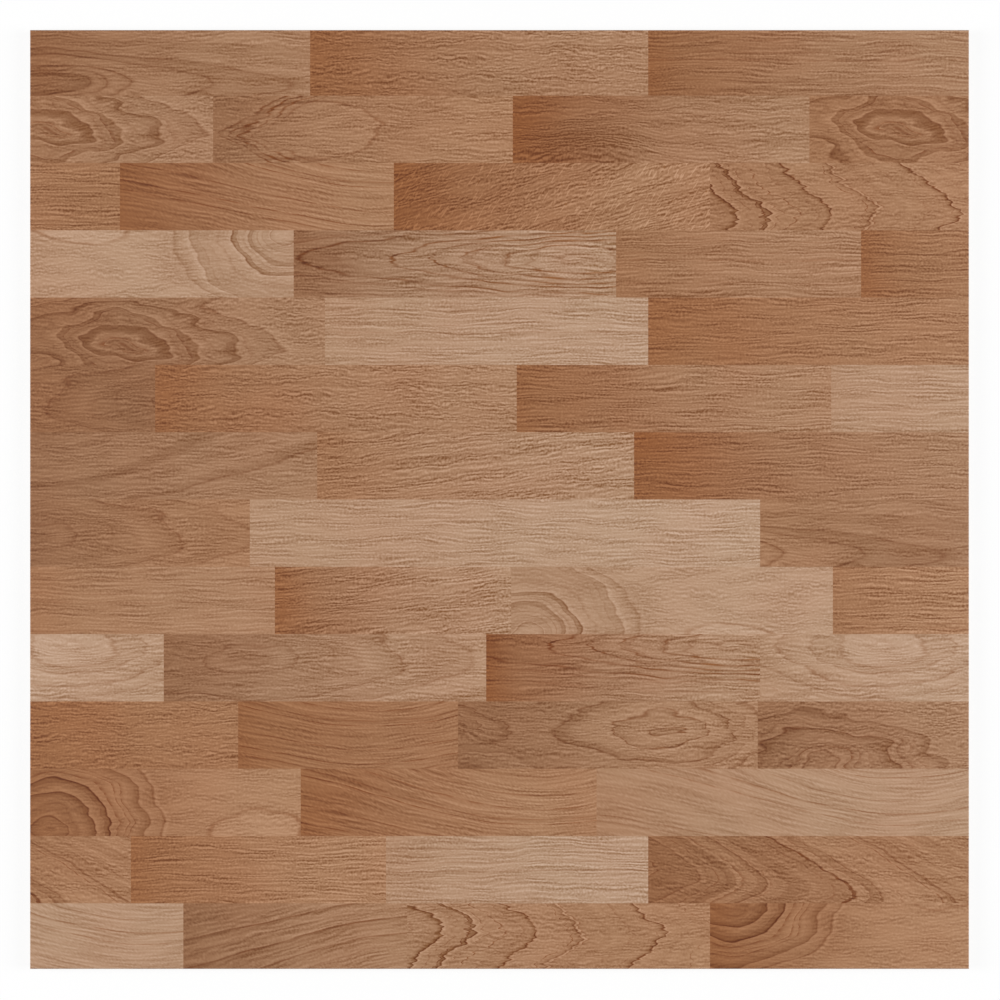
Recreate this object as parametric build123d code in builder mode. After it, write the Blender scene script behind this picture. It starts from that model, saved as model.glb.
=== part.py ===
"""Square glazed floor tile, pressed and fired as one piece, lying face up.

Millimetres, +Z up. The origin is the middle of the bed face, which is the underside
that goes down into the adhesive. +X runs along the wood strips printed on the face,
and +Y runs across them.
"""

import os

from build123d import *

# The slab
tile_side = 600.0  # finished side of the square, ground true after firing
tile_thickness = 9.0  # from the bed face up to the printed face
face_bevel = 0.6  # 45 degree arris ground round the printed face
bed_bevel = 1.2  # 45 degree arris pressed round the underside

# Key relief of the underside: shallow pockets with flat lands between them, for the adhesive
key_count = 12  # pockets along each side
land_width = 5.0  # flat rib between two pockets, at the bed face
key_margin = 14.5  # plain border between the outer pockets and the tile's edge
key_depth = 0.8
key_corner = 5.0  # corner radius of a pocket's mouth
key_draft = 40.0  # slope of a pocket's walls from the vertical, in degrees, so the punch lets go

# Worked out from the sizes above
keyed_side = tile_side - 2 * key_margin
key_pitch = (keyed_side + land_width) / key_count  # from one pocket's middle to the next
pocket_side = key_pitch - land_width

# One stud of the press punch, which leaves one pocket in the clay
with BuildPart() as punch_stud:
    with BuildSketch(Plane.XY):
        RectangleRounded(pocket_side, pocket_side, radius=key_corner)
    extrude(amount=key_depth, taper=key_draft)

# The tile is one solid: a square slab with its arrises broken and the key pressed into its bed
with BuildPart() as floor_tile:
    with BuildSketch(Plane.XY):
        Rectangle(tile_side, tile_side)
    extrude(amount=tile_thickness)

    printed_face = floor_tile.faces().sort_by(Axis.Z)[-1]
    chamfer(printed_face.edges(), length=face_bevel)
    bed_face = floor_tile.faces().sort_by(Axis.Z)[0]
    chamfer(bed_face.edges(), length=bed_bevel)

    with GridLocations(key_pitch, key_pitch, key_count, key_count):
        add(punch_stud.part, mode=Mode.SUBTRACT)

floor_tile.part.label = "floor_tile"

os.makedirs("parts", exist_ok=True)
export_step(floor_tile.part, "parts/floor_tile.step")

print(f"floor tile {tile_side:g} x {tile_side:g} x {tile_thickness:g} mm")
print(f"key of {key_count} x {key_count} pockets, each {pocket_side:g} mm square")
print(f"volume {floor_tile.part.volume / 1000:.1f} cm3")
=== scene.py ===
# %% [markdown]
# A wood-strip floor tile
#
# The real object is one piece of pressed clay, 600 mm square, with a picture of narrow oak
# strips printed on its face under a satin glaze. The solid already has its true shape, so this
# scene is about finish: it takes a copy of the solid, cuts its face into the printed strips,
# and draws the oak with shader nodes. Nothing is painted from a picture.

# %% Load the packed tile
import math
from collections import namedtuple

import bmesh
import bpy
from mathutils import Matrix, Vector


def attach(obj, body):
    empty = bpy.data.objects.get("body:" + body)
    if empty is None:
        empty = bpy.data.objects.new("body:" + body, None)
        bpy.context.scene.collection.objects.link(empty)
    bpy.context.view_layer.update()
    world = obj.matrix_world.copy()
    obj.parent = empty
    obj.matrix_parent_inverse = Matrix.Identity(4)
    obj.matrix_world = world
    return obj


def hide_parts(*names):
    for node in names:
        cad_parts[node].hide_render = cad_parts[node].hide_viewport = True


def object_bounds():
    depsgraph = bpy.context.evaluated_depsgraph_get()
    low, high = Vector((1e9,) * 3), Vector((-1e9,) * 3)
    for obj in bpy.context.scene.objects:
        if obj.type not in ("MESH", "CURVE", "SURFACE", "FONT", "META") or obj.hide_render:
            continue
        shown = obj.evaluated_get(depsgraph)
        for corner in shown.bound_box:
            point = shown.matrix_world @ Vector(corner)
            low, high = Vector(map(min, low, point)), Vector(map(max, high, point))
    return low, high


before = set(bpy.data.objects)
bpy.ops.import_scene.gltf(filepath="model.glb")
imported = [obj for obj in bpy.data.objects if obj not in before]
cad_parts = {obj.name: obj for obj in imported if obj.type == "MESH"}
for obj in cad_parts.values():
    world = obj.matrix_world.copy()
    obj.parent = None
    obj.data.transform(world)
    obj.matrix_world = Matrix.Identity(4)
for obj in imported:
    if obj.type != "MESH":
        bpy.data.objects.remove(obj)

cad_low, cad_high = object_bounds()
MM = 0.001  # the scene is in metres, and this lesson speaks in millimetres
print("CAD box", [round(x, 4) for x in cad_low], [round(x, 4) for x in cad_high])

# %% [markdown]
# The printed layout
#
# The print was made for a blank a little larger than the tile: fourteen rows, each 43 mm wide,
# are 602 mm, and grinding the edges true took 1 mm off the first and the last row. Each row is a
# run of strips that butt end to end. A strip is a window onto an oak board: it says where it
# ends, which board it shows, where that board's figure has its middle, and the tones between
# which it drifts. The same board comes back in several strips, turned over or shifted, just as
# it does on a real print.

# %% Rows and strips
ROW_WIDTH = 43.0  # mm
ROW_COUNT = 14
FIRST_ROW_TOP = ROW_COUNT * ROW_WIDTH / 2  # mm above the middle of the tile

# end: mm from the tile's left edge. along, across: mm from the strip's left end and middle line
# to the middle of the board's figure. flip: u turns the board end for end, v turns it over.
Strip = namedtuple("Strip", "end board along across start finish flip", defaults=("",))

ROWS = [
    [
        Strip(179.0, "flame", 0, -14, "umber", "sand"),
        Strip(395.0, "ripple", 0, -260, "chestnut", "sand"),
        Strip(600.0, "straight", 0, -250, "chestnut", "sand"),
    ],
    [
        Strip(117.0, "cloud", 13, -1, "rosewood", "rose"),
        Strip(308.5, "spear", 53, -2, "russet", "biscuit"),
        Strip(498.0, "bud", 0, -260, "smoked", "sand"),
        Strip(600.0, "cloud", 59, -1, "amber", "rosewood"),
    ],
    [
        Strip(57.5, "coarse", -700, -300, "amber", "amber"),
        Strip(232.5, "bowl", 170, 120, "smoked", "biscuit"),
        Strip(434.5, "fleck", 0, -260, "smoked", "biscuit"),
        Strip(600.0, "zigzag", 17, -10, "rosewood", "biscuit"),
    ],
    [
        Strip(168.5, "pool", 165, 22, "wheat", "oat", "uv"),
        Strip(374.5, "ragged", 179, 3, "russet", "oat"),
        Strip(531.0, "straight", -1000, -250, "amber", "sand"),
        Strip(600.0, "coarse", -1300, -300, "chestnut", "honey"),
    ],
    [
        Strip(188.5, "cloud", 62, -10, "umber", "rose"),
        Strip(395.0, "pale", 0, -250, "wheat", "cream"),
        Strip(600.0, "coarse", -300, -350, "chestnut", "rosewood"),
    ],
    [
        Strip(80.0, "drift", 108, -2, "umber", "russet", "u"),
        Strip(311.0, "ripple", 0, -260, "chestnut", "sand"),
        Strip(512.0, "coarse", -1600, -300, "chestnut", "sand"),
        Strip(600.0, "pale", -400, -300, "wheat", "oat"),
    ],
    [
        Strip(183.5, "hollow", 10, 40, "russet", "rose"),
        Strip(386.0, "climb", 0, -260, "amber", "wheat"),
        Strip(600.0, "coarse", -2000, -350, "smoked", "rose"),
    ],
    [
        Strip(140.5, "drift", 0, -2, "russet", "rosewood"),
        Strip(466.5, "pale", -700, -350, "wheat", "cream"),
        Strip(600.0, "flame", -50, -14, "rosewood", "rose"),
    ],
    [
        Strip(156.5, "pale", -2400, -250, "amber", "sand"),
        Strip(307.5, "climb", -600, -300, "chestnut", "wheat"),
        Strip(513.0, "pool", 9, -24, "wheat", "oat"),
        Strip(600.0, "coarse", -2800, -300, "amber", "biscuit"),
    ],
    [
        Strip(85.5, "lens", 27, 14, "cream", "oat"),
        Strip(291.5, "drift", 56, 6, "russet", "wheat"),
        Strip(466.5, "ragged", 157, 14, "smoked", "wheat"),
        Strip(600.0, "lens", 78, 14, "wheat", "cream"),
    ],
    [
        Strip(133.0, "ripple", -500, -360, "chestnut", "amber"),
        Strip(273.5, "bowl", 84, 120, "chestnut", "honey"),
        Strip(465.0, "eye", 136, 3, "russet", "sand"),
        Strip(600.0, "storm", 41, -17, "russet", "rose"),
    ],
    [
        Strip(173.0, "swirl", 13, -16, "chestnut", "biscuit"),
        Strip(362.0, "bowl", 150, 100, "chestnut", "biscuit"),
        Strip(600.0, "plate", 195, 100, "sand", "oat"),
    ],
    [
        Strip(64.5, "arches", -87, -12, "amber", "biscuit"),
        Strip(227.5, "coarse", -3200, -350, "chestnut", "biscuit"),
        Strip(395.0, "pale", -1200, -250, "wheat", "cream"),
        Strip(600.0, "arches", 37, -4, "umber", "biscuit"),
    ],
    [
        Strip(98.0, "plate", 77, 110, "oat", "oat"),
        Strip(241.0, "hill", 150, -60, "russet", "sand"),
        Strip(434.5, "zigzag", 22, 2, "sand", "biscuit", "v"),
        Strip(600.0, "swirl", 12, 29, "chestnut", "biscuit", "v"),
    ],
]
print(len(ROWS), "rows with", sum(len(row) for row in ROWS), "strips")

# %% [markdown]
# The oak boards
#
# A tree grows as a stack of nearly round shells, and a board is a flat cut through them. So one
# formula draws every figure: the shell that a point lies on is its distance from the pith, where
# depth is how far under the board the pith runs, closing says how fast the pith dives away to
# both ends, which closes the rings into ovals, and taper how fast it dives to one end, which
# draws them out into arches. The other numbers say how the wood is drawn: how far rings and
# fibres stray, how strong the fine rings and the fibres are printed, whether the fibres follow
# the rings or hush among them, and where a knot lies. Figured boards also have a few strong
# rings, and each of these says how far it lies from the pith, how dark its line is, and how much
# the wood changes across it.

# %% Board figures
PLAIN_BOARD = {
    "depth": 2.0, "closing": 0.0, "taper": 0.0, "lean": 0.0,
    "ragged": 1.0, "wander": 2.5, "wave": 0.3,  # mm
    "pitch": 4.0, "line": 0.3, "band": 0.4, "fade": 400.0,  # the fine rings, and where they fade out
    "pore": 0.8, "dash": 8.0, "sway": 2.0, "follow": 0.0, "hush": 0.0, "fleck": 0.0,  # the fibres
    "knot_along": 0.0, "knot_across": 0.0, "knot_size": 10.0,  # mm
    "knot_rise": 0.0, "knot_shade": 0.0, "knot_glow": 0.0,
}
BOARDS = {
    "straight": {"pitch": 3.4, "wander": 1.6, "line": 0.6, "dash": 18.0, "pore": 0.88},
    "coarse": {"pitch": 3.8, "wander": 1.6, "line": 0.8, "dash": 16.0, "pore": 1.08},
    "pale": {"pitch": 4.6, "wander": 1.2, "line": 0.5, "band": 0.2, "pore": 0.75, "dash": 18.0},
    "ripple": {"pitch": 3.5, "wander": 3.0, "line": 0.2, "pore": 1.05, "dash": 6.0, "wave": 0.5},
    "climb": {"lean": 0.1, "pitch": 3.5, "line": 0.3, "pore": 1.15, "dash": 9.0, "wave": 0.45},
    "fleck": {"lean": 0.25, "pitch": 3.2, "line": 0.4, "pore": 1.1, "fleck": 1.0, "dash": 5.0},
    "bud": {
        "line": 0.7, "pore": 0.9, "wave": 0.4, "dash": 7.0,
        "knot_along": 46.0, "knot_across": 247.0, "knot_size": 44.0, "knot_rise": 9.0, "knot_shade": 1.0,
    },
    "bowl": {
        "closing": 0.78, "pitch": 3.0, "ragged": 0.3, "wander": 1.2, "line": 1.1, "pore": 0.7,
        "wave": 0.15, "follow": 1.0, "dash": 14.0,
    },
    "plate": {
        "closing": 0.78, "pitch": 3.0, "ragged": 0.3, "wander": 1.2, "line": 0.8, "band": 0.2,
        "pore": 0.45, "wave": 0.15, "follow": 1.0, "dash": 14.0,
    },
    "hill": {"closing": 0.6, "pitch": 6.0, "wander": 1.5, "follow": 1.0, "dash": 10.0, "pore": 0.65},
    "hollow": {"closing": 0.58, "wander": 2.5, "ragged": 2.0, "line": 0.2, "band": 0.6},
    "flame": {"closing": 0.2, "wander": 2.5, "line": 0.2, "pore": 0.7, "band": 0.6},
    "spear": {
        "taper": -0.5, "ragged": 2.0, "wander": 3.0, "line": 0.2, "pore": 0.9, "band": 0.2,
        "knot_along": 10.0, "knot_size": 42.0, "knot_glow": 0.5,
    },
    "drift": {"closing": 0.35, "wander": 4.0, "ragged": 2.0, "line": 0.2, "band": 0.6, "pore": 0.82},
    "lens": {
        "closing": 0.42, "ragged": 3.0, "wander": 2.5, "band": 0.2, "pore": 0.65,
        "knot_size": 30.0, "knot_rise": -6.0, "knot_glow": 0.4,
    },
    "ragged": {
        "closing": 0.2, "pitch": 3.5, "ragged": 3.0, "wander": 2.5, "line": 0.5, "pore": 0.88,
        "dash": 13.0, "wave": 0.2, "knot_size": 28.0, "knot_glow": 0.4,
    },
    "arches": {
        "depth": 8.0, "taper": 0.45, "lean": -0.12, "pitch": 4.0, "wander": 1.5, "line": 1.0,
        "band": 0.7, "pore": 0.75, "dash": 4.0,
    },
    "zigzag": {
        "depth": 3.0, "taper": 0.8, "pitch": 8.0, "ragged": 2.5, "wander": 3.0, "line": 1.4,
        "pore": 0.65, "dash": 5.0,
    },
    "swirl": {
        "closing": 0.88, "pitch": 3.5, "ragged": 0.4, "wander": 3.5, "line": 0.8, "fade": 70.0,
        "band": 0.7, "hush": 0.3, "pore": 0.6, "dash": 5.0,
        "knot_along": 133.0, "knot_across": -3.0, "knot_size": 30.0, "knot_glow": 0.5,
    },
    "cloud": {
        "closing": 0.46, "pitch": 3.0, "ragged": 0.5, "wander": 9.0, "line": 0.9, "fade": 40.0,
        "band": 0.8, "hush": 0.3, "pore": 0.9, "dash": 4.0,
    },
    "storm": {
        "closing": 0.48, "pitch": 3.0, "ragged": 0.5, "wander": 7.0, "line": 0.9, "fade": 40.0,
        "band": 0.8, "hush": 0.2, "pore": 0.95, "dash": 4.0,
    },
    "eye": {
        "closing": 0.45, "taper": 0.13, "pitch": 6.5, "ragged": 3.0, "wander": 5.0, "dash": 6.0,
        "knot_along": -147.0, "knot_across": 1.0, "knot_size": 30.0, "knot_rise": 30.0,
    },
}
BOARDS["pool"] = {**BOARDS["swirl"], "line": 0.6, "band": 0.5}  # a swirl in paler wood
RINGS = {
    "hill": [(55, 0.3, 0.2), (63, 0.7, 0.4), (73, 0.8, 0.4), (79, 0.3, 0.2), (85, 0.7, 0.4)],
    "hollow": [(31, 0.2, 0.1), (52, 0.2, 0.1), (69.5, 0.5, 0.2)],
    "flame": [(7.7, 0.6, 0.6), (9.7, 0.5, 0.5), (12, 0.6, 0.5), (18, 0.7, 0.2), (21.5, 0.6, 0.2)],
    "spear": [(15, 0.5, 0.1), (18.5, 0.8, 0.1), (22, 1.0, 0.2), (25.5, 1.0, 0.2)],
    "drift": [(9.6, 0.5, 0.2), (28, 0.5, 0.3), (34.6, 0.4, 0.2)],
    "lens": [(19, 0.4, 0.2), (25, 0.5, 0.2), (31, 0.4, 0.2)],
    "ragged": [(9, 0.6, 0.1), (12.5, 0.8, 0.1), (15.5, 1.0, 0.1), (18, 1.3, 0.1), (22, 1.0, 0.2)],
    "arches": [(6, 0.5, 0.4), (17, 0.3, 0.3), (26, 0.6, 0.6), (49.5, 0.7, 0.6), (81, 0.6, 0.6)],
    "zigzag": [(3, 1.1, 1.4), (19, 1.1, 1.4), (51, 1.1, 1.1), (76, 0.8, 0.7), (117, 1.1, 0.9)],
    "swirl": [(9, 0.7, 0.6), (23, 0.8, 0.8), (31, 1.2, 1.0), (50, 0.4, 0.7), (57, 0.4, 0.5)],
    "pool": [(9, 0.4, 0.4), (23, 0.4, 0.5), (31, 0.7, 0.6), (50, 0.3, 0.5), (57, 0.3, 0.4)],
    "cloud": [(4.2, 0.3, 0.6), (12.3, 0.6, 0.9), (20, 0.2, 0.9), (28, 0.5, 0.9), (35.5, 0.5, 0.5)],
    "storm": [(6, 0.3, 0.5), (21, 0.5, 0.9), (31.5, 0.3, 0.5)],
    "eye": [(3.5, 1.0, 0.3), (11, 0.8, 0.4), (20, 0.8, 0.4), (27, 0.4, 0.3), (34, 0.6, 0.4)],
}
RING_COUNT = max(len(lines) for lines in RINGS.values())
print(len(BOARDS), "board figures, with up to", RING_COUNT, "strong rings")

# %% [markdown]
# The tones
#
# Oiled oak runs from smoked brown to cream, and it gets paler and less orange together, so two
# colours and the line between them are enough. Each named tone says how far along the line it
# lies, and how much greyer it is than the line, or livelier where that number is below 0. Every
# strip drifts from one tone to another. The colours are written as they would be picked on a
# screen, and turned into the linear values that Blender's sockets take.

# %% Palette
SMOKED = (143, 87, 47)
CREAM = (185, 151, 124)
GREY = (105, 105, 105)
TONES = {
    "smoked": (0.0, 0.0), "chestnut": (0.15, 0.0), "amber": (0.4, 0.0), "honey": (0.45, 0.0),
    "umber": (0.2, 0.08), "russet": (0.25, 0.12), "rosewood": (0.5, 0.0), "rose": (0.55, 0.05),
    "biscuit": (0.6, -0.04), "sand": (0.65, 0.0), "wheat": (0.8, 0.0), "oat": (0.9, 0.0),
    "cream": (1.0, 0.0),
}


def blend(first, second, share):
    """The colour that lies this far from the first to the second."""
    return [a + (b - a) * share for a, b in zip(first, second)]


def linear(tone):
    """A named tone as the linear colour that Blender works in, by the standard screen curve."""
    pale, grey = TONES[tone]
    shares = [value / 255 for value in blend(blend(SMOKED, CREAM, pale), GREY, grey)]
    return [s / 12.92 if s <= 0.04045 else ((s + 0.055) / 1.055) ** 2.4 for s in shares]


print(len(TONES), "tones")

# %% [markdown]
# The body
#
# The solid comes in as loose triangles. They are merged into one skin, and flat runs of
# triangles are dissolved into whole faces, which leaves the face of the tile as one square
# that the next steps can cut.

# %% Copy the solid and merge its triangles
MERGE_WITHIN = 0.01 * MM
FLAT_WITHIN = math.radians(0.5)

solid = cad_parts["floor_tile"]
bm = bmesh.new()
bm.from_mesh(solid.data)
loose = len(bm.faces)
bmesh.ops.remove_doubles(bm, verts=bm.verts, dist=MERGE_WITHIN)
bmesh.ops.dissolve_limit(bm, angle_limit=FLAT_WITHIN, verts=bm.verts, edges=bm.edges)
print(loose, "loose triangles became", len(bm.faces), "faces")

# %% [markdown]
# Cutting the face into strips
#
# The strips are only printed, so no joint is cut into the clay. But a face of its own for each
# strip lets it carry its own facts, and keeps the print sharp where two strips meet. A plane
# that bisects the face and its bevel does this without adding any relief: first across the
# whole tile for the rows, then inside each row for the strip ends.

# %% Cut rows and strips
FACE_UP = 0.5  # faces that point up at least this much carry the print: the face and its bevel
HALF_UP = cad_high.z / 2  # the face lies above this height, and the underside below it
CUT_SNAP = 0.001 * MM


def printed_faces(low=-math.inf, high=math.inf):
    """The faces that carry the print, between two heights in the picture, in metres."""
    up = [f for f in bm.faces if f.normal.z > FACE_UP and f.calc_center_median().z > HALF_UP]
    return [f for f in up if low < f.calc_center_median().y < high]


def cut(faces, point, normal):
    """Cuts these faces where a plane crosses them."""
    edges = {e for f in faces for e in f.edges}
    corners = {v for f in faces for v in f.verts}
    bmesh.ops.bisect_plane(
        bm, geom=[*faces, *edges, *corners], dist=CUT_SNAP, plane_co=point, plane_no=normal
    )


row_lines = [(FIRST_ROW_TOP - ROW_WIDTH * i) * MM for i in range(ROW_COUNT + 1)]
for line in row_lines[1:-1]:
    cut(printed_faces(), (0, line, 0), (0, 1, 0))
for row, top, bottom in zip(ROWS, row_lines, row_lines[1:]):
    for strip in row[:-1]:
        cut(printed_faces(bottom, top), (cad_low.x + strip.end * MM, 0, 0), (1, 0, 0))
print("the print has", len(printed_faces()), "faces")

# %% [markdown]
# The underside is cut too, along three of the flat lands between its key pockets. That changes
# nothing to look at, but it lets the underside lie in four columns beside the face when the
# surface is later laid out flat.

# %% Cut the underside into columns
COLUMN_LINES = (-144.0, 0.0, 144.0)  # mm, along the middle of a land
for line in COLUMN_LINES:
    under = [f for f in bm.faces if f.normal.z < -FACE_UP and f.calc_center_median().z < HALF_UP]
    cut(under, (line * MM, 0, 0), (1, 0, 0))

tile_mesh = bpy.data.meshes.new("wood_strip_tile")
bm.normal_update()
bm.to_mesh(tile_mesh)
bm.free()
print("the tile has", len(tile_mesh.polygons), "faces")

# %% [markdown]
# What each strip knows
#
# Each printed face gets its strip's facts as attributes, which the material reads, so one
# material can draw all the boards. An attribute holds three numbers as easily as one, so the
# facts are kept in threes, which is quicker to read. Two UV maps go with them. One lays the
# strip on its board, in metres from the middle of the figure, turned over where the strip says
# so. The other runs from 0 to 1 along the strip, for the drift of its tone.

# %% Find the strip of each face
GLAZE, CLAY = 0, 1  # material slots


def strip_at(x, y):
    """The strip at a place on the face, with its left end and middle line, in metres."""
    row_index = min(int((FIRST_ROW_TOP - y / MM) // ROW_WIDTH), ROW_COUNT - 1)
    left = 0.0
    for strip in ROWS[row_index]:
        if (x - cad_low.x) / MM < strip.end:
            break
        left = strip.end
    middle = FIRST_ROW_TOP - ROW_WIDTH * (row_index + 0.5)
    return strip, cad_low.x + left * MM, middle * MM


strips = []
for face in tile_mesh.polygons:
    printed = face.normal.z > FACE_UP and face.center.z > HALF_UP
    face.material_index = GLAZE if printed else CLAY
    strips.append(strip_at(face.center.x, face.center.y) if printed else None)
print(sum(s is not None for s in strips), "faces know their strip")

# %% Write the board facts on the faces
FACTS = [*PLAIN_BOARD, "seed"]
TRIPLES = [FACTS[i:i + 3] for i in range(0, len(FACTS), 3)]
BLANK = (0.0, 0.0, 0.0)
SEED_STEP = 10.0  # far enough apart that two boards have nothing in common
facts_of = {
    board: {**PLAIN_BOARD, **own, "seed": SEED_STEP * i}
    for i, (board, own) in enumerate(BOARDS.items())
}
rings_of = {board: [*RINGS.get(board, []), *[BLANK] * RING_COUNT] for board in BOARDS}


def face_triples(name, of_board):
    """Keeps three numbers for each face, worked out from its board. Faces with no print get 0."""
    triples = [of_board(found[0].board) if found else BLANK for found in strips]
    layer = tile_mesh.attributes.new(name, "FLOAT_VECTOR", "FACE")
    layer.data.foreach_set("vector", [number for triple in triples for number in triple])


for names in TRIPLES:
    face_triples("facts " + names[0], lambda board: [facts_of[board][name] for name in names])
for number in range(RING_COUNT):
    face_triples(f"ring {number}", lambda board: rings_of[board][number])

for end in ("start", "finish"):
    shades = [linear(getattr(found[0], end)) if found else BLANK for found in strips]
    tones = tile_mesh.attributes.new("tone_" + end, "FLOAT_COLOR", "FACE")
    tones.data.foreach_set("color", [value for shade in shades for value in (*shade, 1.0)])
print("attributes:", len(tile_mesh.attributes))

# %% Lay each strip on its board
board_map = tile_mesh.uv_layers.new(name="board")
strip_map = tile_mesh.uv_layers.new(name="strip")
for face, found in zip(tile_mesh.polygons, strips):
    if not found:
        continue
    strip, left, middle = found
    turn_u = -1 if "u" in strip.flip else 1
    turn_v = -1 if "v" in strip.flip else 1
    length = cad_low.x + strip.end * MM - left
    for corner in face.loop_indices:
        place = tile_mesh.vertices[tile_mesh.loops[corner].vertex_index].co
        u = place.x - left - strip.along * MM
        v = place.y - middle - strip.across * MM
        board_map.uv[corner].vector = (u * turn_u, v * turn_v)
        share = (place.x - left) / length
        strip_map.uv[corner].vector = (share, 0.5 + (place.y - middle) / (ROW_WIDTH * MM))
print("maps:", [layer.name for layer in tile_mesh.uv_layers])

# %% [markdown]
# A map for baking
#
# This map is for baking the tile's nodes to one square picture. The face is what people look at, so this
# map gives it most of the square, unbroken, and lays the underside's four columns and the four thin
# walls along two sides of the square, at half the scale.

# %% Lay the surface out flat
FACE_SHARE = 0.85  # of the map's side, for the printed face
MARGIN = 0.004
UNDER_SCALE = 0.7  # map units to a metre, for the underside and the walls
BAND = FACE_SHARE + 3 * MARGIN  # where the two bands beside the face begin
WALL_ROW = 0.009  # height of one line of walls in the band
UPRIGHT = 0.1  # a wall's faces point up or down less than this
RIM = 0.1 * MM  # and lie this close to the tile's edge


def on_face(place):
    """The printed face fills the lower left of the map."""
    scale = FACE_SHARE / (cad_high.x - cad_low.x)
    return MARGIN + (place.x - cad_low.x) * scale, MARGIN + (place.y - cad_low.y) * scale


def on_underside(place, column):
    """Columns 0 and 1 stand in the right-hand band, 2 and 3 lie in the upper one."""
    edges = (cad_low.x, *(line * MM for line in COLUMN_LINES), cad_high.x)
    length = (cad_high.y - cad_low.y) * UNDER_SCALE + MARGIN
    run = (place.y - cad_low.y) * UNDER_SCALE
    if column < 2:
        return BAND + (edges[column + 1] - place.x) * UNDER_SCALE, MARGIN + column * length + run
    return MARGIN + (column - 2) * length + run, BAND + (place.x - edges[column]) * UNDER_SCALE


def on_wall(place, normal):
    """Walls lie two to a line, above the columns in the upper band."""
    way = Vector((-normal.y, normal.x, 0))
    run = (place.dot(way) - cad_low.x) * UNDER_SCALE
    length = (cad_high.x - cad_low.x) * UNDER_SCALE + MARGIN
    outer_column = cad_high.x - COLUMN_LINES[-1] * MM
    first_line = BAND + outer_column * UNDER_SCALE + MARGIN
    across = normal.x + normal.y > 0
    line = abs(normal.y) > abs(normal.x)
    return MARGIN + across * length + run, first_line + line * WALL_ROW + place.z * UNDER_SCALE


def is_wall(face):
    """Whether a face belongs to one of the tile's four walls."""
    out = max(abs(face.center.x), abs(face.center.y))
    return abs(face.normal.z) < UPRIGHT and out > cad_high.x - RIM


bake_map = tile_mesh.uv_layers.new(name="OFBake")
for face, found in zip(tile_mesh.polygons, strips):
    column = sum(face.center.x > line * MM for line in COLUMN_LINES)
    for corner in face.loop_indices:
        place = tile_mesh.vertices[tile_mesh.loops[corner].vertex_index].co
        if found:
            spot = on_face(place)
        elif is_wall(face):
            spot = on_wall(place, face.normal)
        else:
            spot = on_underside(place, column)
        bake_map.uv[corner].vector = spot
spots = [corner.vector for corner in bake_map.uv]
print("map spans", [round(f(s[i] for s in spots), 3) for i in (0, 1) for f in (min, max)])

# %% [markdown]
# Writing formulas with nodes
#
# A shader tree is a formula drawn as boxes and wires. Wiring each box by hand hides the
# formula, so this small class stands for a number on its way through a tree: adding or
# multiplying two of them places a Math node and returns the number that comes out.

# %% Place nodes and feed them
def plug(tree, value, socket):
    """Feeds a socket with a number, a colour or what comes out of another node."""
    source = getattr(value, "source", value)
    if isinstance(source, bpy.types.NodeSocket):
        tree.links.new(source, socket)
    else:
        socket.default_value = source


def place_node(tree, kind, inputs, **settings):
    """Adds a node with these settings, and feeds its inputs by name or number."""
    node = tree.nodes.new(kind)
    for name, value in settings.items():
        setattr(node, name, value)
    for name, value in inputs.items():
        plug(tree, value, node.inputs[name])
    return node


print("nodes are placed by", place_node.__name__, "and fed by", plug.__name__)


# %% A number that flows through a tree
class Flow:
    """A number on its way through a node tree."""

    def __init__(self, tree, source):
        self.tree = tree
        self.source = source

    def maths(self, operation, *others):
        """Places a Math node, with this number first and the others after it."""
        node = place_node(self.tree, "ShaderNodeMath", {}, operation=operation)
        for value, socket in zip((self, *others), node.inputs):
            plug(self.tree, value, socket)
        return Flow(self.tree, node.outputs[0])

    def __add__(self, other):
        return self.maths("ADD", other)

    def __sub__(self, other):
        return self.maths("SUBTRACT", other)

    def __mul__(self, other):
        return self.maths("MULTIPLY", other)

    def __truediv__(self, other):
        return self.maths("DIVIDE", other)

    def __pow__(self, other):
        return self.maths("POWER", other)

    def inverse(self):
        """1 minus this number, which turns a mask round."""
        return (self * -1.0) + 1.0

    def at_least(self, low):
        """Squeezes a mask, so that it runs from low to 1."""
        return self * (1.0 - low) + low

    def step(self, low, high):
        """0 below low, 1 above high, with a smooth ramp between."""
        given = {"Value": self, "From Min": low, "From Max": high}
        node = place_node(self.tree, "ShaderNodeMapRange", given, interpolation_type="SMOOTHSTEP")
        return Flow(self.tree, node.outputs["Result"])

    def fall(self, low, high):
        """1 below low, 0 above high, with a smooth ramp between."""
        flow = self.step(low, high)
        flow.source.node.inputs["To Min"].default_value = 1.0
        flow.source.node.inputs["To Max"].default_value = 0.0
        return flow


print("a flow can", [name for name in vars(Flow) if not name.startswith("__")])


# %% Noise and groups
def noise(u, v, seed, detail=2.0):
    """Smooth random numbers about 0.5, over a plane. Another seed gives another plane."""
    tree = u.tree
    place = place_node(tree, "ShaderNodeCombineXYZ", {"X": u, "Y": v, "Z": seed})
    given = {"Vector": place.outputs[0], "Scale": 1.0, "Detail": detail, "Roughness": 0.5}
    node = place_node(tree, "ShaderNodeTexNoise", given, noise_dimensions="3D")
    return Flow(tree, node.outputs[0])


def new_group(name, inputs, outputs):
    """A node group with these sockets. Returns it, its inputs as flows, and its output node."""
    group = bpy.data.node_groups.new(name, "ShaderNodeTree")
    for socket in inputs:
        group.interface.new_socket(socket, in_out="INPUT", socket_type="NodeSocketFloat")
    for socket in outputs:
        group.interface.new_socket(socket, in_out="OUTPUT", socket_type="NodeSocketFloat")
    entry = group.nodes.new("NodeGroupInput")
    leave = group.nodes.new("NodeGroupOutput")
    return group, {socket: Flow(group, entry.outputs[socket]) for socket in inputs}, leave


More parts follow.
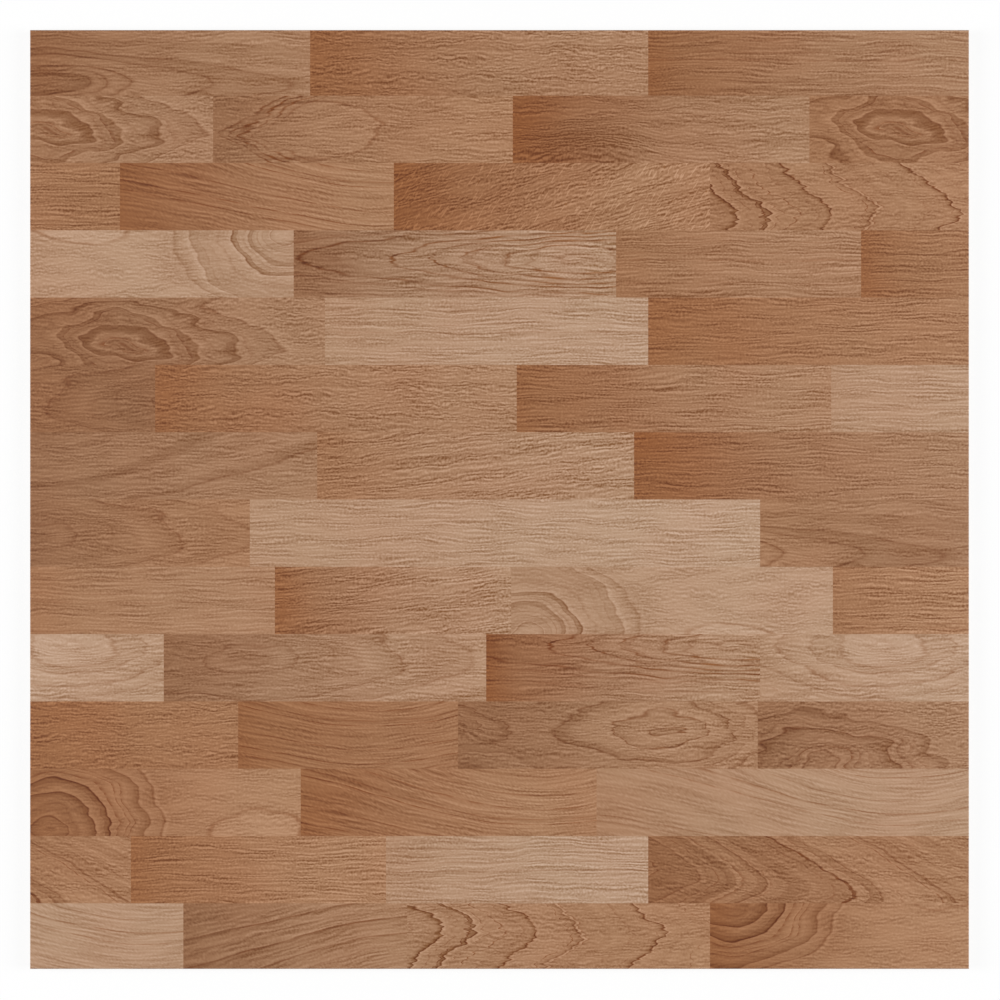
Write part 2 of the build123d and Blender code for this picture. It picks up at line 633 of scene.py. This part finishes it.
def finish_group(group, leave, made):
    """Feeds what a group has made to its output node."""
    for name, value in made.items():
        plug(group, value, leave.inputs[name])
    print(group.name, "has", len(group.nodes), "nodes")


def place_group(tree, group, given):
    """Places a group in a tree, feeds it, and returns what comes out as flows."""
    node = place_node(tree, "ShaderNodeGroup", given, node_tree=group)
    return {socket.name: Flow(tree, socket) for socket in node.outputs}


# %% [markdown]
# The growth rings
#
# This group is the board formula. Before the distance from the pith is taken, the place is
# pulled about: slowly, as a trunk wanders, and in thin streaks along the fibres, which makes a
# ring line ragged where it crosses them and leaves it smooth where it runs with them. Slope is
# how much the shell changes from one millimetre of the board to the next, which a line needs to
# be equally thin all the way round. Lane is the line of growth that a fibre keeps to, and run
# how far along it a place lies. A knot pushes rings and fibres aside.

# %% Ring group
SWING = 4.0  # noise keeps within about a quarter of its middle, and this makes that 1
DRIFT, SWAY = (60, 22), (50, 20)  # mm along and across the board, the size of a trunk's wandering
TREMBLE, STREAK = (9, 3), (26, 2.2)  # mm, and of the small waves and the thin streaks
DRIFT_GAIN = 2.0  # how much further a trunk wanders along the board than across it
REACH = 140.0  # mm from the middle of a figure, beyond which its rings run out straight
LEAST_CLOSING, LEAST_SLOPE = 0.01, 0.12
FINE_LINE = 1.4  # mm, how far the dark edge of a fine ring fades out
KNOT_FLAT = 2.2  # how many times a knot is longer than it is wide
FIBRE_RISE = 9.0  # mm, the most that a knot pushes the fibres aside
RUN_SLANT = 0.6  # fibres that follow the rings begin later across the board by this much

ring_facts = ["depth", "closing", "taper", "lean", "pitch", "ragged", "wander", "wave"]
ring_facts += ["fade", "sway", "follow", "knot_along", "knot_across", "knot_size", "knot_rise"]
ring_outputs = ["shell", "slope", "run", "lane", "near", "dark edge", "light edge", "band", "patch"]
ring_outputs += ["knot", "knot edge", "knot inside"]
rings, given, leave = new_group(
    "growth rings", ["along", "across", "seed", *ring_facts], ring_outputs
)
along, across, seed = given["along"], given["across"], given["seed"]
pitch, taper, follow = given["pitch"], given["taper"], given["follow"]


def stray(size, shift, detail=2.0):
    """Noise that swings about 0, with spots of this size along and across the board."""
    return (noise(along / size[0], across / size[1], seed + shift, detail) - 0.5) * SWING


drift = stray(DRIFT, 0.0)
sway = stray(SWAY, 3.3)
tremble = stray(TREMBLE, 6.1, detail=1.0) * given["wave"]
streak = stray(STREAK, 5.7, detail=1.0)
u = along + drift * given["wander"] * DRIFT_GAIN + streak * given["ragged"]
v = across - along * given["lean"] + sway * given["wander"]

knot_u = (u - given["knot_along"]) / given["knot_size"]
knot_v = (v - given["knot_across"]) * KNOT_FLAT / given["knot_size"]
knot_far = knot_u ** 2.0 + knot_v ** 2.0
knot = (knot_far * -1.0).maths("EXPONENT")
knot_off = (knot_far ** 0.5 - 1.0) * given["knot_size"] / KNOT_FLAT
knot_edge = knot_off.maths("ABSOLUTE").fall(0.0, FINE_LINE)

closing = given["closing"].maths("MAXIMUM", LEAST_CLOSING)
bent = u / (((u / REACH) ** 2.0 + 1.0) ** 0.5)
pith = (v ** 2.0 + (bent * closing) ** 2.0 + given["depth"] ** 2.0) ** 0.5
shell = pith + u * taper - knot * given["knot_rise"]
slope = ((v / pith) ** 2.0 + (bent * closing ** 2.0 / pith + taper) ** 2.0) ** 0.5

fibre = across - along * given["lean"] + sway * given["sway"]
fibre = fibre - knot * given["knot_rise"].maths("MINIMUM", FIBRE_RISE)
lane = fibre + (shell - fibre) * follow + tremble
run = along + across * follow * RUN_SLANT
print("shells and lanes take", len(rings.nodes), "nodes")

# %% [markdown]
# The fine rings lie in the same group. No two are alike: each has its own width, some edges are
# printed darker than others and all are broken here and there, and the wood between them goes
# from darker to paler in bands. They fade out away from the middle of a figure.

# %% Fine rings
FADE_FROM = 0.6  # share of the way at which the rings begin to fade
RING_UNEVEN, UNEVEN_PACE = 1.8, 0.4  # how far ring widths stray, and how quickly
FEW_DARK = 1.5  # a power that keeps most edges pale
BREAK = (12, 2.2)  # mm along and across, the size of a break in an edge
PATCH = (22, 8)  # mm, and of a patch of weaker ink
BREAK_LEAST, PATCH_LEAST = 0.3, 0.35  # what is left of the ink there
BAND_PACE = 0.8  # bands to a ring

near = (shell / given["fade"]).fall(FADE_FROM, 1.0)
count = shell / pitch
count = count + (noise(count * UNEVEN_PACE, seed, 1.5, detail=0.0) - 0.5) * RING_UNEVEN
ring = count.maths("FLOOR")
inside = count - ring
chance = place_node(rings, "ShaderNodeTexWhiteNoise", {"W": ring + seed}, noise_dimensions="1D")
weight = (Flow(rings, chance.outputs[0]) ** FEW_DARK) * near
broken = noise(along / BREAK[0], lane / BREAK[1], seed + 7.9, detail=0.0).step(0.3, 0.6)
edge_ink = broken.at_least(BREAK_LEAST) * weight
patch = noise(along / PATCH[0], across / PATCH[1], seed + 8.8, detail=1.0).step(0.3, 0.65)
finish_group(rings, leave, {
    "shell": shell,
    "slope": slope.maths("MAXIMUM", LEAST_SLOPE),
    "run": run,
    "lane": lane,
    "near": near,
    "dark edge": (inside * pitch).fall(0.0, FINE_LINE) * edge_ink,
    "light edge": (inside.inverse() * pitch).fall(0.0, FINE_LINE) * edge_ink,
    "band": noise(count * BAND_PACE, seed, 4.5, detail=1.0).step(0.35, 0.7) * near,
    "patch": patch.at_least(PATCH_LEAST),
    "knot": knot,
    "knot edge": knot_edge,
    "knot inside": knot_far.fall(0.85, 1.0),
})

# %% [markdown]
# The strong ring lines
#
# Where a summer was dry, the ring shows as a thin dark line. The wood inside it darkens towards
# the line, and pale spring wood follows outside. The group takes one such ring, and the material
# places it once for each. The line is equally thin all the way round, but the dusk inside it and
# the lip outside it are as wide as the wood that grew, so they spread where the cut is flat.

# %% Ring line group
LINE_WIDTH = 0.9  # mm, to each side
DUSK_REACH = 4.0  # mm of growth inside the line
LIP_REACH = 3.0  # mm of growth outside it
CHANGE = 0.8  # mm of growth in which dusk turns to lip

ring_line, given, leave = new_group(
    "ring line", ["shell", "slope", "radius", "ink", "change"], ["line", "dusk", "lip"]
)
outside = given["shell"] - given["radius"]
line = (outside / given["slope"]).maths("ABSOLUTE").fall(0.0, LINE_WIDTH)
dusk = outside.step(-DUSK_REACH, 0.0) * outside.fall(0.0, CHANGE)
lip = outside.step(0.0, CHANGE) * outside.fall(CHANGE, LIP_REACH)
finish_group(ring_line, leave, {
    "line": line * given["ink"],
    "dusk": dusk * given["change"],
    "lip": lip * given["change"],
})

# %% [markdown]
# The fibres
#
# Between the rings, oak is all short fibres and open pores, thin dark dashes with pale ones
# beside them. Noise that is stretched along the grain gives soft streaks. Taking away the same
# noise a little to either side leaves only what is thin, as sharpening a picture does. A much
# finer noise keeps the dashes from looking combed, and they crowd together in some places.

# %% Fibre group
FIBRE_WIDTH = 1.7  # mm
FIBRE_STEP = 0.75  # mm to either side
TOOTH_LONG, TOOTH_WIDE = 1.4, 1.1  # mm
TOOTH = 0.95  # how strong the finer noise is
CROWD = (30, 6)  # mm along and across, the size of a crowd of fibres
CROWD_LEAST = 0.5  # how strong fibres are where they are few
DARK_RAMP, PALE_RAMP = (-0.04, 0.5), (-0.53, 0.04)  # where dark and pale dashes set in

pores, given, leave = new_group(
    "oak fibres", ["along", "lane", "length", "seed"], ["dark", "light", "crowd"]
)
along, lane, seed = given["along"], given["lane"], given["seed"]
run = along / given["length"]
middle, above, below = [
    noise(run, (lane + offset) / FIBRE_WIDTH, seed + 3.7, detail=0.0)
    for offset in (0.0, FIBRE_STEP, -FIBRE_STEP)
]
tooth = noise(along / TOOTH_LONG, lane / TOOTH_WIDE, seed, detail=0.0) - 0.5
thin = middle * 2.0 - above - below + tooth * TOOTH
crowd = noise(along / CROWD[0], lane / CROWD[1], seed + 4.9, detail=0.0).step(0.3, 0.7)
finish_group(pores, leave, {
    "dark": thin.step(*DARK_RAMP) * crowd.at_least(CROWD_LEAST),
    "light": thin.fall(*PALE_RAMP) * crowd.at_least(CROWD_LEAST),
    "crowd": crowd,
})

# %% [markdown]
# Cloud and speckle
#
# Ink under glaze and bare clay both have a slow cloudiness from the kiln, and bare clay a fine
# speckle from its grog too, so these are one group that both materials use, each at its own
# scale.

# %% Kiln group
DETAILS = {"cloud": 1.0, "speck": 3.0}
kiln, given, leave = new_group(
    "kiln cloud", ["x", "y", "z", "cloud size", "speck size"], list(DETAILS)
)
mottle = {}
for name, detail in DETAILS.items():
    x, y, z = [given[way] / given[name + " size"] for way in "xyz"]
    mottle[name] = noise(x, y, z, detail=detail)
finish_group(kiln, leave, mottle)

# %% [markdown]
# The printed face
#
# The material reads the strip's facts from its face, draws its rings and fibres, and lays them
# over the strip's two tones as a printer does, each ink multiplied into what is under it: a
# brown for fibres and shaded wood, a redder one for ring lines, and a pale one for spring wood.
# The glaze has very shallow dents along the grain, and is a little rougher over the pores.

# %% Printed glaze
glaze = bpy.data.materials.new("printed glaze")
glaze.use_nodes = True
tree = glaze.node_tree
shader = tree.nodes["Principled BSDF"]


def tone(name):
    """A colour that the faces keep."""
    return place_node(tree, "ShaderNodeAttribute", {}, attribute_name=name).outputs["Color"]


def triple(name):
    """Three numbers that the faces keep."""
    source = place_node(tree, "ShaderNodeAttribute", {}, attribute_name=name)
    parts = place_node(tree, "ShaderNodeSeparateXYZ", {0: source.outputs["Vector"]})
    return [Flow(tree, number) for number in parts.outputs]


def on_map(name):
    """The two coordinates of a UV map."""
    uv = place_node(tree, "ShaderNodeUVMap", {}, uv_map=name)
    parts = place_node(tree, "ShaderNodeSeparateXYZ", {0: uv.outputs[0]})
    return [Flow(tree, parts.outputs[way]) for way in "XY"]


board_u, board_v = [place / MM for place in on_map("board")]
share = on_map("strip")[0]
facts = {}
for names in TRIPLES:
    facts.update(zip(names, triple("facts " + names[0])))
print(glaze.name, "reads", len(facts), "facts")

# %% Draw the figure
figure_facts = {name: facts[name] for name in (*ring_facts, "seed")}
drawn = place_group(tree, rings, {**figure_facts, "along": board_u, "across": board_v})
grain = place_group(tree, pores, {
    "along": drawn["run"], "lane": drawn["lane"], "length": facts["dash"], "seed": facts["seed"],
})
totals = {"line": 0.0, "dusk": 0.0, "lip": 0.0}
for number in range(RING_COUNT):
    radius, ink, change = triple(f"ring {number}")
    one = place_group(tree, ring_line, {
        "shell": drawn["shell"], "slope": drawn["slope"],
        "radius": radius, "ink": ink, "change": change,
    })
    totals = {name: one[name] + total for name, total in totals.items()}
line = (totals["line"] + drawn["knot edge"] * facts["knot_glow"]) * drawn["patch"]
line = line + drawn["dark edge"] * facts["line"]
print("a board has", RING_COUNT, "strong rings at most")

# %% [markdown]
# Ray flecks are short pale strokes that cross the grain at a slant. They come from noise too,
# stretched along the slant, of which only the highest spots are kept.

# %% Ray flecks
FLECK_TURN = math.radians(58)
FLECK_LONG, FLECK_WIDE = 9, 1.1  # mm
fleck_u = board_u * math.cos(FLECK_TURN) + board_v * math.sin(FLECK_TURN)
fleck_v = board_v * math.cos(FLECK_TURN) - board_u * math.sin(FLECK_TURN)
fleck = noise(fleck_u / FLECK_LONG, fleck_v / FLECK_WIDE, facts["seed"], detail=0.0)
fleck = fleck.step(0.67, 0.74) * facts["fleck"]
print("flecks", FLECK_LONG, "mm long")


# %% Tones and inks
def in_millimetres(tree):
    """Where a point lies on the tile."""
    here = place_node(tree, "ShaderNodeTexCoord", {}).outputs["Object"]
    spot = place_node(tree, "ShaderNodeSeparateXYZ", {0: here})
    return {name: Flow(tree, spot.outputs[name.upper()]) / MM for name in "xyz"}


def mix(amount, under, over, way="MIX"):
    """Lays one colour over another. A Mix node's colours are its sockets 6 and 7, and 2 out."""
    node = place_node(
        tree, "ShaderNodeMix", {0: amount, 6: under, 7: over},
        data_type="RGBA", blend_type=way, clamp_factor=True,
    )
    return node.outputs[2]


def dye(colour, ink):
    """A colour with an ink multiplied into it."""
    return mix(1.0, colour, ink, "MULTIPLY")


PORE_INK = (0.5, 0.34, 0.17, 1.0)
RING_INK = (0.57, 0.34, 0.15, 1.0)
LIP_INK = (1.43, 1.63, 1.92, 1.0)
ROSE_CAST = (1.01, 0.995, 0.99, 1.0)
OLIVE_CAST = (0.99, 1.0, 0.99, 1.0)
INK = {"band": 0.4, "crowd": 0.2, "bruise": 0.35, "dusk": 0.5, "fibre": 0.75}  # share of PORE_INK
GLEAM = {"fibre": 1.15, "lip": 0.45, "edge": 0.3, "fleck": 1.2, "knot": 0.4, "band": 0.12}
BRUISE_FIBRE = 0.9  # how much stronger fibres are beside a dark knot
TONE_BEND = 1.6  # above 1, a strip's tone changes faster at its start
TONE_CLOUD = 0.3  # how much clouds shift the tone

clouds = place_group(tree, kiln, {**in_millimetres(tree), "cloud size": 55.0, "speck size": 0.9})
cloud = clouds["cloud"]
drift = (share.inverse() ** TONE_BEND).inverse() + (cloud - 0.5) * TONE_CLOUD
colour = mix(drift, tone("tone_start"), tone("tone_finish"))
colour = mix(cloud.step(0.3, 0.7), dye(colour, ROSE_CAST), dye(colour, OLIVE_CAST))

bruise = drawn["knot"].step(0.2, 0.9) * facts["knot_shade"]
pore = facts["pore"] * (drawn["near"] * facts["hush"]).inverse() + bruise * BRUISE_FIBRE
shade = drawn["band"] * facts["band"] * INK["band"] + grain["crowd"] * INK["crowd"]
shade = shade + bruise * INK["bruise"] + totals["dusk"] * INK["dusk"]
shade = shade + grain["dark"] * pore * INK["fibre"]
gleam = grain["light"] * pore * GLEAM["fibre"] + totals["lip"] * GLEAM["lip"]
gleam = gleam + drawn["light edge"] * facts["line"] * GLEAM["edge"] + fleck * GLEAM["fleck"]
gleam = gleam + drawn["knot inside"] * facts["knot_glow"] * GLEAM["knot"]
gleam = gleam + drawn["band"].inverse() * facts["band"] * GLEAM["band"]
for amount, ink in ((shade, PORE_INK), (line, RING_INK), (gleam, LIP_INK)):
    colour = mix(amount, colour, dye(colour, ink))
plug(tree, colour, shader.inputs["Base Color"])
print("three inks over", len(TONES), "tones")

# %% Glaze surface
GLAZE_ROUGH, PORE_ROUGH, CLOUD_ROUGH = 0.38, 0.12, 0.1
DENT_LONG, DENT_WIDE, DENT_DEEP = 8, 1.3, 0.03  # mm
shader.inputs["Specular IOR Level"].default_value = 0.35
rough = grain["dark"] * PORE_ROUGH + cloud * CLOUD_ROUGH + GLAZE_ROUGH
plug(tree, rough, shader.inputs["Roughness"])
dent = noise(board_u / DENT_LONG, board_v / DENT_WIDE, 0.0, detail=0.0)
dents = {"Height": dent, "Strength": 0.25, "Distance": DENT_DEEP * MM}
plug(tree, place_node(tree, "ShaderNodeBump", dents).outputs[0], shader.inputs["Normal"])
print(glaze.name, len(tree.nodes), "nodes")

# %% [markdown]
# The bare clay
#
# Walls and underside are unglazed porcelain body: buff, with fine dark and pale grog. The walls
# were ground true with a wheel that ran along them, which leaves faint level scratches, and the
# lands of the underside keep some of the white kiln wash that stopped them sticking to the
# rollers.

# %% Fired clay
BODY = (0.58, 0.47, 0.36, 1.0)
BODY_DARK = (0.42, 0.33, 0.25, 1.0)
KILN_WASH = (0.80, 0.78, 0.74, 1.0)
SCRATCH_LONG, SCRATCH_WIDE = 30, 0.25  # mm
WALL_FOOT, WALL_HEAD = (1.3, 1.6), (8.0, 8.5)  # mm up, where the ground wall begins and ends
LANDS = (0.02, 0.2)  # mm up, where the lands end
WASH_SPOT = 9  # mm
WASH_COVER, CLOUD_COVER = 0.75, 0.5
CLAY_ROUGH, ROUGHER, GROG_RELIEF = 0.68, 0.15, 0.5
RELIEF_DEEP = 0.06  # mm

clay = bpy.data.materials.new("fired clay")
clay.use_nodes = True
tree = clay.node_tree
shader = tree.nodes["Principled BSDF"]
place = in_millimetres(tree)
clouds = place_group(tree, kiln, {**place, "cloud size": 40.0, "speck size": 1.2})
cloud, speck = clouds["cloud"], clouds["speck"]

scratch = noise((place["x"] + place["y"]) / SCRATCH_LONG, place["z"] / SCRATCH_WIDE, 1.0)
scratch = scratch * place["z"].step(*WALL_FOOT) * place["z"].step(*WALL_HEAD).inverse()
wash = noise(place["x"] / WASH_SPOT, place["y"] / WASH_SPOT, 4.0, detail=5.0).step(0.42, 0.6)
wash = wash * place["z"].step(*LANDS).inverse()
colour = mix(speck.step(0.52, 0.72), BODY, BODY_DARK)
colour = mix(cloud.step(0.35, 0.75) * CLOUD_COVER, colour, BODY_DARK)
colour = mix(wash * WASH_COVER, colour, KILN_WASH)
plug(tree, colour, shader.inputs["Base Color"])
plug(tree, speck * ROUGHER + scratch * ROUGHER + CLAY_ROUGH, shader.inputs["Roughness"])
relief = {"Height": speck * GROG_RELIEF + scratch, "Strength": 0.4, "Distance": RELIEF_DEEP * MM}
plug(tree, place_node(tree, "ShaderNodeBump", relief).outputs[0], shader.inputs["Normal"])
print(clay.name, len(tree.nodes), "nodes")

# %% [markdown]
# The finished piece
#
# The dressed tile takes the place of the plain solid and moves with the same body.

# %% Put the tile in place
tile_mesh.materials.append(glaze)
tile_mesh.materials.append(clay)
tile = bpy.data.objects.new("wood_strip_tile", tile_mesh)
bpy.context.scene.collection.objects.link(tile)
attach(tile, "root")
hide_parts("floor_tile")
print(tile.name, "stands for floor_tile")

# %% [markdown]
# The stage
#
# The photo is a flat copy of the face on pure white. A copy stand lights a sheet from both
# sides and low down, so that a satin face throws its gloss past the lens, and so does this
# stage. The floor shows white to the camera but takes a share of the real light, so it keeps
# the tile's soft shadow. It is cut away under the tile and clear from below, where a third
# lamp stands, so that the underside can be looked at too.

# %% Floor
FLOOR_HALF = 10.0  # metres
OPENING_HALF = cad_high.x - 2 * MM  # the opening under the tile, hidden by its rim
FLOOR_LEVEL = cad_low.z - 0.1 * MM
FLOOR_GLOW = 0.85  # share of the floor's white that isn't from the lamps
PAPER_WHITE = (0.95, 0.95, 0.95, 1.0)

floor_mesh = bpy.data.meshes.new("floor")
bm = bmesh.new()
turns = [(1, 1), (-1, 1), (-1, -1), (1, -1)]
outer, inner = [
    [bm.verts.new((x * half, y * half, FLOOR_LEVEL)) for x, y in turns]
    for half in (FLOOR_HALF, OPENING_HALF)
]
for i in range(len(turns)):
    bm.faces.new((outer[i - 1], outer[i], inner[i], inner[i - 1]))
bm.to_mesh(floor_mesh)
bm.free()
floor = bpy.data.objects.new("floor", floor_mesh)
bpy.context.scene.collection.objects.link(floor)

paper = bpy.data.materials.new("white paper")
paper.use_nodes = True
tree = paper.node_tree
tree.nodes.clear()
ray = place_node(tree, "ShaderNodeLightPath", {})
seen = Flow(tree, ray.outputs["Is Camera Ray"]) + Flow(tree, ray.outputs["Is Glossy Ray"])
seen = seen + Flow(tree, ray.outputs["Is Transmission Ray"])
matt = place_node(tree, "ShaderNodeBsdfDiffuse", {"Color": PAPER_WHITE})
glow = place_node(tree, "ShaderNodeEmission", {"Color": (1.0, 1.0, 1.0, 1.0), "Strength": 1.0})
shares = {0: seen * FLOOR_GLOW, 1: matt.outputs[0], 2: glow.outputs[0]}
white = place_node(tree, "ShaderNodeMixShader", shares)
side = place_node(tree, "ShaderNodeNewGeometry", {}).outputs["Backfacing"]
clear = place_node(tree, "ShaderNodeBsdfTransparent", {})
sides = {0: side, 1: white.outputs[0], 2: clear.outputs[0]}
surface = place_node(tree, "ShaderNodeMixShader", sides)
place_node(tree, "ShaderNodeOutputMaterial", {"Surface": surface.outputs[0]})
floor_mesh.materials.append(paper)
print("the floor's normals point", [round(f.normal.z) for f in floor_mesh.polygons])

# %% Daylight and softboxes
AMBIENT = 0.3
LAMP_POWER = 58.0  # watts
LAMP_WIDE, LAMP_LONG = 1.0, 1.6  # metres
LAMPS = {"left": (-2.4, 0, 1.5), "right": (2.4, 0, 1.5), "below": (0, -1.4, -2.4)}  # metres

world = bpy.data.worlds.new("daylight")
world.use_nodes = True
world.node_tree.nodes["Background"].inputs["Color"].default_value = (1.0, 1.0, 1.0, 1.0)
world.node_tree.nodes["Background"].inputs["Strength"].default_value = AMBIENT
bpy.context.scene.world = world

for name, place in LAMPS.items():
    lamp = bpy.data.lights.new("softbox " + name, "AREA")
    lamp.shape = "RECTANGLE"
    lamp.size = LAMP_WIDE
    lamp.size_y = LAMP_LONG
    lamp.energy = LAMP_POWER
    holder = bpy.data.objects.new("softbox " + name, lamp)
    holder.location = place
    holder.rotation_euler = Vector(place).to_track_quat("Z", "Y").to_euler()
    bpy.context.scene.collection.objects.link(holder)
print(len(LAMPS), "softboxes of", LAMP_POWER, "W")

# %% [markdown]
# The camera
#
# It looks straight down with a long lens. In the photo the tile is 939 pixels of the 1000
# wide, and sits half a pixel up and left of the middle, which gives the height and the place.

# %% Camera
FRAME_PIXELS = 1000
TILE_PIXELS = 939.1
OFF_CENTRE = 0.5  # pixels
LENS, SENSOR = 85.0, 36.0  # mm

frame_width = (cad_high.x - cad_low.x) * FRAME_PIXELS / TILE_PIXELS
pixel = frame_width / FRAME_PIXELS
view = bpy.data.cameras.new("copy stand")
view.lens = LENS
view.sensor_width = SENSOR
camera = bpy.data.objects.new("copy stand", view)
camera.location = (OFF_CENTRE * pixel, -OFF_CENTRE * pixel, cad_high.z + frame_width * LENS / SENSOR)
bpy.context.scene.collection.objects.link(camera)
bpy.context.scene.camera = camera
bpy.context.scene.view_settings.view_transform = "Standard"
print("camera at", round(camera.location.z, 3), "m")

# %% [markdown]
